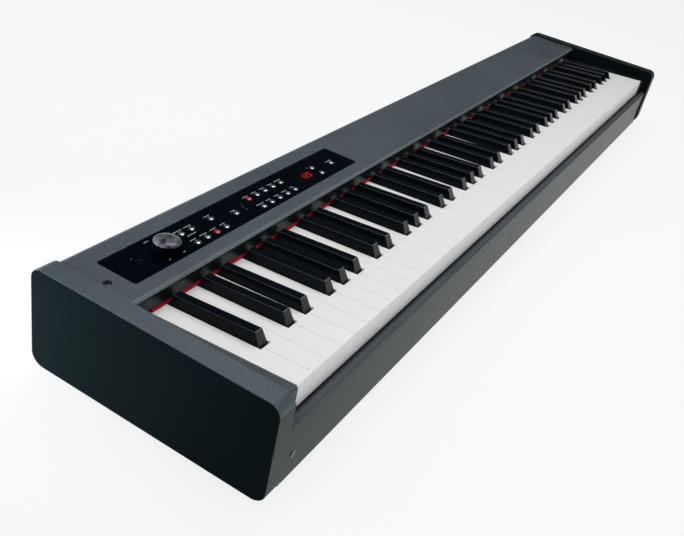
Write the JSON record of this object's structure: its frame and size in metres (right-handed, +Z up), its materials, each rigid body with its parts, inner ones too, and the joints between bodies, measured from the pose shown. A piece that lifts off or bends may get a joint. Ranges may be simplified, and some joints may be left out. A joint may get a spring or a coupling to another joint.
{
  "type": "stage piano",
  "caption": "Slim digital stage piano: dark slab case with raised end panels, weighted keyboard on pivots, left-hand panel with volume knob, buttons and red display, rear sockets",
  "frame": {"origin": "centre of the four rubber feet, on the ground under the middle of the case", "axes": "+X towards the player's right (treble end), -Y towards the player, +Z up"},
  "size_m": [1.327, 0.263, 0.128],
  "materials": {
    "panel_black": "satin, smooth",
    "slate_cover": "matte, fine grained",
    "rail_grey": "matte",
    "chipboard": "dark laminate",
    "rubber_black": "matte",
    "gloss_black": "polished",
    "ivory_white": "satin",
    "ebony_black": "satin",
    "crimson_felt": "felt",
    "frame_plastic": "dull, ribbed",
    "cheek_slate": "matte, fine grained",
    "hammer_plastic": "moulded",
    "circuit_green": "solder mask",
    "display_red": "polished window",
    "screw_steel": "black oxide"
  },
  "bodies": {
    "case": {"left_end_panel": "panel_black", "right_end_panel": "panel_black", "left_cheek_block": "cheek_slate", "right_cheek_block": "cheek_slate", "top_cover": "slate_cover", "left_cover_screw": "screw_steel", "right_cover_screw": "screw_steel", "front_rail": "rail_grey", "base_board": "chipboard", "rear_panel": "rail_grey", "front_left_foot": "rubber_black", "front_right_foot": "rubber_black", "rear_left_foot": "rubber_black", "rear_right_foot": "rubber_black", "control_panel": "gloss_black", "control_circuit_board": "circuit_green", "display_module": "display_red", "rear_jack_board": "circuit_green", "keybed_frame": "frame_plastic", "key_felt_strip": "crimson_felt"},
    "volume_knob": {"volume_knob": "gloss_black"},
    "power_button": {"power_button": "gloss_black"},
    "rear_pair_buttons": {"rear_pair_buttons": "gloss_black"},
    "rear_single_button": {"rear_single_button": "gloss_black"},
    "front_row_buttons": {"front_row_buttons": "gloss_black"},
    "middle_single_button": {"middle_single_button": "gloss_black"},
    "rear_bank_buttons": {"rear_bank_buttons": "gloss_black"},
    "front_bank_buttons": {"front_bank_buttons": "gloss_black"},
    "step_pair_buttons": {"step_pair_buttons": "gloss_black"},
    "end_single_button": {"end_single_button": "gloss_black"},
    "bass_keys": {"bass_white_keys": "ivory_white", "bass_black_keys": "ebony_black"},
    "bass_hammers": {"bass_hammers": "hammer_plastic"},
    "key_c4": {"key_c4": "ivory_white"},
    "key_c_sharp4": {"key_c_sharp4": "ebony_black"},
    "key_d4": {"key_d4": "ivory_white"},
    "key_d_sharp4": {"key_d_sharp4": "ebony_black"},
    "key_e4": {"key_e4": "ivory_white"},
    "key_f4": {"key_f4": "ivory_white"},
    "key_f_sharp4": {"key_f_sharp4": "ebony_black"},
    "key_g4": {"key_g4": "ivory_white"},
    "key_g_sharp4": {"key_g_sharp4": "ebony_black"},
    "key_a4": {"key_a4": "ivory_white"},
    "key_a_sharp4": {"key_a_sharp4": "ebony_black"},
    "key_b4": {"key_b4": "ivory_white"},
    "hammer_c4": {"hammer_c4": "hammer_plastic"},
    "hammer_c_sharp4": {"hammer_c_sharp4": "hammer_plastic"},
    "hammer_d4": {"hammer_d4": "hammer_plastic"},
    "hammer_d_sharp4": {"hammer_d_sharp4": "hammer_plastic"},
    "hammer_e4": {"hammer_e4": "hammer_plastic"},
    "hammer_f4": {"hammer_f4": "hammer_plastic"},
    "hammer_f_sharp4": {"hammer_f_sharp4": "hammer_plastic"},
    "hammer_g4": {"hammer_g4": "hammer_plastic"},
    "hammer_g_sharp4": {"hammer_g_sharp4": "hammer_plastic"},
    "hammer_a4": {"hammer_a4": "hammer_plastic"},
    "hammer_a_sharp4": {"hammer_a_sharp4": "hammer_plastic"},
    "hammer_b4": {"hammer_b4": "hammer_plastic"},
    "treble_keys": {"treble_white_keys": "ivory_white", "treble_black_keys": "ebony_black"},
    "treble_hammers": {"treble_hammers": "hammer_plastic"}
  },
  "joints": [
    {"name": "volume_turn", "type": "hinge", "parent": "case", "child": "volume_knob", "pos_m": [-0.5565, 0.0737, 0.12], "axis": [0, 0, 1], "range_deg": [-150, 150]},
    {"name": "power_press", "type": "slide", "parent": "case", "child": "power_button", "axis": [0, 0, -1], "range_m": [0, 0.0008], "stiffness_N_per_m": 400, "springref_m": -0.0005},
    {"name": "rear_pair_press", "type": "slide", "parent": "case", "child": "rear_pair_buttons", "axis": [0, 0, -1], "range_m": [0, 0.0008], "stiffness_N_per_m": 400, "springref_m": -0.0005},
    {"name": "rear_single_press", "type": "slide", "parent": "case", "child": "rear_single_button", "axis": [0, 0, -1], "range_m": [0, 0.0008], "stiffness_N_per_m": 400, "springref_m": -0.0005},
    {"name": "front_row_press", "type": "slide", "parent": "case", "child": "front_row_buttons", "axis": [0, 0, -1], "range_m": [0, 0.0008], "stiffness_N_per_m": 400, "springref_m": -0.0005},
    {"name": "middle_single_press", "type": "slide", "parent": "case", "child": "middle_single_button", "axis": [0, 0, -1], "range_m": [0, 0.0008], "stiffness_N_per_m": 400, "springref_m": -0.0005},
    {"name": "rear_bank_press", "type": "slide", "parent": "case", "child": "rear_bank_buttons", "axis": [0, 0, -1], "range_m": [0, 0.0008], "stiffness_N_per_m": 400, "springref_m": -0.0005},
    {"name": "front_bank_press", "type": "slide", "parent": "case", "child": "front_bank_buttons", "axis": [0, 0, -1], "range_m": [0, 0.0008], "stiffness_N_per_m": 400, "springref_m": -0.0005},
    {"name": "step_pair_press", "type": "slide", "parent": "case", "child": "step_pair_buttons", "axis": [0, 0, -1], "range_m": [0, 0.0008], "stiffness_N_per_m": 400, "springref_m": -0.0005},
    {"name": "end_single_press", "type": "slide", "parent": "case", "child": "end_single_button", "axis": [0, 0, -1], "range_m": [0, 0.0008], "stiffness_N_per_m": 400, "springref_m": -0.0005},
    {"name": "bass_keys_press", "type": "hinge", "parent": "case", "child": "bass_keys", "pos_m": [-0.34365, 0.0965, 0.0727], "axis": [1, 0, 0], "range_deg": [0, 2.69], "stiffness_Nm_per_rad": 39, "springref_deg": -8.59},
    {"name": "key_c4_press", "type": "hinge", "parent": "case", "child": "key_c4", "pos_m": [-0.05925, 0.0965, 0.0727], "axis": [1, 0, 0], "range_deg": [0, 2.69], "stiffness_Nm_per_rad": 1, "springref_deg": -8.59},
    {"name": "key_c_sharp4_press", "type": "hinge", "parent": "case", "child": "key_c_sharp4", "pos_m": [-0.0496, 0.0965, 0.0727], "axis": [1, 0, 0], "range_deg": [0, 2.69], "stiffness_Nm_per_rad": 1, "springref_deg": -8.59},
    {"name": "key_d4_press", "type": "hinge", "parent": "case", "child": "key_d4", "pos_m": [-0.03555, 0.0965, 0.0727], "axis": [1, 0, 0], "range_deg": [0, 2.69], "stiffness_Nm_per_rad": 1, "springref_deg": -8.59},
    {"name": "key_d_sharp4_press", "type": "hinge", "parent": "case", "child": "key_d_sharp4", "pos_m": [-0.0215, 0.0965, 0.0727], "axis": [1, 0, 0], "range_deg": [0, 2.69], "stiffness_Nm_per_rad": 1, "springref_deg": -8.59},
    {"name": "key_e4_press", "type": "hinge", "parent": "case", "child": "key_e4", "pos_m": [-0.01185, 0.0965, 0.0727], "axis": [1, 0, 0], "range_deg": [0, 2.69], "stiffness_Nm_per_rad": 1, "springref_deg": -8.59},
    {"name": "key_f4_press", "type": "hinge", "parent": "case", "child": "key_f4", "pos_m": [0.01185, 0.0965, 0.0727], "axis": [1, 0, 0], "range_deg": [0, 2.69], "stiffness_Nm_per_rad": 1, "springref_deg": -8.59},
    {"name": "key_f_sharp4_press", "type": "hinge", "parent": "case", "child": "key_f_sharp4", "pos_m": [0.0204, 0.0965, 0.0727], "axis": [1, 0, 0], "range_deg": [0, 2.69], "stiffness_Nm_per_rad": 1, "springref_deg": -8.59},
    {"name": "key_g4_press", "type": "hinge", "parent": "case", "child": "key_g4", "pos_m": [0.03555, 0.0965, 0.0727], "axis": [1, 0, 0], "range_deg": [0, 2.69], "stiffness_Nm_per_rad": 1, "springref_deg": -8.59},
    {"name": "key_g_sharp4_press", "type": "hinge", "parent": "case", "child": "key_g_sharp4", "pos_m": [0.0474, 0.0965, 0.0727], "axis": [1, 0, 0], "range_deg": [0, 2.69], "stiffness_Nm_per_rad": 1, "springref_deg": -8.59},
    {"name": "key_a4_press", "type": "hinge", "parent": "case", "child": "key_a4", "pos_m": [0.05925, 0.0965, 0.0727], "axis": [1, 0, 0], "range_deg": [0, 2.69], "stiffness_Nm_per_rad": 1, "springref_deg": -8.59},
    {"name": "key_a_sharp4_press", "type": "hinge", "parent": "case", "child": "key_a_sharp4", "pos_m": [0.0744, 0.0965, 0.0727], "axis": [1, 0, 0], "range_deg": [0, 2.69], "stiffness_Nm_per_rad": 1, "springref_deg": -8.59},
    {"name": "key_b4_press", "type": "hinge", "parent": "case", "child": "key_b4", "pos_m": [0.08295, 0.0965, 0.0727], "axis": [1, 0, 0], "range_deg": [0, 2.69], "stiffness_Nm_per_rad": 1, "springref_deg": -8.59},
    {"name": "treble_keys_press", "type": "hinge", "parent": "case", "child": "treble_keys", "pos_m": [0.3555, 0.0965, 0.0727], "axis": [1, 0, 0], "range_deg": [0, 2.69], "stiffness_Nm_per_rad": 37, "springref_deg": -8.59},
    {"name": "bass_hammers_swing", "type": "hinge", "parent": "case", "child": "bass_hammers", "pos_m": [-0.34365, -0.0195, 0.0495], "axis": [1, 0, 0], "range_deg": [0, 10.6]},
    {"name": "hammer_c4_swing", "type": "hinge", "parent": "case", "child": "hammer_c4", "pos_m": [-0.06385, -0.0195, 0.0495], "axis": [1, 0, 0], "range_deg": [0, 10.6]},
    {"name": "hammer_c_sharp4_swing", "type": "hinge", "parent": "case", "child": "hammer_c_sharp4", "pos_m": [-0.0496, -0.0195, 0.0495], "axis": [1, 0, 0], "range_deg": [0, 10.6]},
    {"name": "hammer_d4_swing", "type": "hinge", "parent": "case", "child": "hammer_d4", "pos_m": [-0.03555, -0.0195, 0.0495], "axis": [1, 0, 0], "range_deg": [0, 10.6]},
    {"name": "hammer_d_sharp4_swing", "type": "hinge", "parent": "case", "child": "hammer_d_sharp4", "pos_m": [-0.0215, -0.0195, 0.0495], "axis": [1, 0, 0], "range_deg": [0, 10.6]},
    {"name": "hammer_e4_swing", "type": "hinge", "parent": "case", "child": "hammer_e4", "pos_m": [-0.00725, -0.0195, 0.0495], "axis": [1, 0, 0], "range_deg": [0, 10.6]},
    {"name": "hammer_f4_swing", "type": "hinge", "parent": "case", "child": "hammer_f4", "pos_m": [0.0067, -0.0195, 0.0495], "axis": [1, 0, 0], "range_deg": [0, 10.6]},
    {"name": "hammer_f_sharp4_swing", "type": "hinge", "parent": "case", "child": "hammer_f_sharp4", "pos_m": [0.0204, -0.0195, 0.0495], "axis": [1, 0, 0], "range_deg": [0, 10.6]},
    {"name": "hammer_g4_swing", "type": "hinge", "parent": "case", "child": "hammer_g4", "pos_m": [0.0339, -0.0195, 0.0495], "axis": [1, 0, 0], "range_deg": [0, 10.6]},
    {"name": "hammer_g_sharp4_swing", "type": "hinge", "parent": "case", "child": "hammer_g_sharp4", "pos_m": [0.0474, -0.0195, 0.0495], "axis": [1, 0, 0], "range_deg": [0, 10.6]},
    {"name": "hammer_a4_swing", "type": "hinge", "parent": "case", "child": "hammer_a4", "pos_m": [0.0609, -0.0195, 0.0495], "axis": [1, 0, 0], "range_deg": [0, 10.6]},
    {"name": "hammer_a_sharp4_swing", "type": "hinge", "parent": "case", "child": "hammer_a_sharp4", "pos_m": [0.0744, -0.0195, 0.0495], "axis": [1, 0, 0], "range_deg": [0, 10.6]},
    {"name": "hammer_b4_swing", "type": "hinge", "parent": "case", "child": "hammer_b4", "pos_m": [0.0881, -0.0195, 0.0495], "axis": [1, 0, 0], "range_deg": [0, 10.6]},
    {"name": "treble_hammers_swing", "type": "hinge", "parent": "case", "child": "treble_hammers", "pos_m": [0.3555, -0.0195, 0.0495], "axis": [1, 0, 0], "range_deg": [0, 10.6]}
  ],
  "couplings": [
    {"joint": "bass_hammers_swing", "follows": "bass_keys_press", "ratio": 3.9},
    {"joint": "hammer_c4_swing", "follows": "key_c4_press", "ratio": 3.9},
    {"joint": "hammer_c_sharp4_swing", "follows": "key_c_sharp4_press", "ratio": 3.9},
    {"joint": "hammer_d4_swing", "follows": "key_d4_press", "ratio": 3.9},
    {"joint": "hammer_d_sharp4_swing", "follows": "key_d_sharp4_press", "ratio": 3.9},
    {"joint": "hammer_e4_swing", "follows": "key_e4_press", "ratio": 3.9},
    {"joint": "hammer_f4_swing", "follows": "key_f4_press", "ratio": 3.9},
    {"joint": "hammer_f_sharp4_swing", "follows": "key_f_sharp4_press", "ratio": 3.9},
    {"joint": "hammer_g4_swing", "follows": "key_g4_press", "ratio": 3.9},
    {"joint": "hammer_g_sharp4_swing", "follows": "key_g_sharp4_press", "ratio": 3.9},
    {"joint": "hammer_a4_swing", "follows": "key_a4_press", "ratio": 3.9},
    {"joint": "hammer_a_sharp4_swing", "follows": "key_a_sharp4_press", "ratio": 3.9},
    {"joint": "hammer_b4_swing", "follows": "key_b4_press", "ratio": 3.9},
    {"joint": "treble_hammers_swing", "follows": "treble_keys_press", "ratio": 3.9}
  ]
}
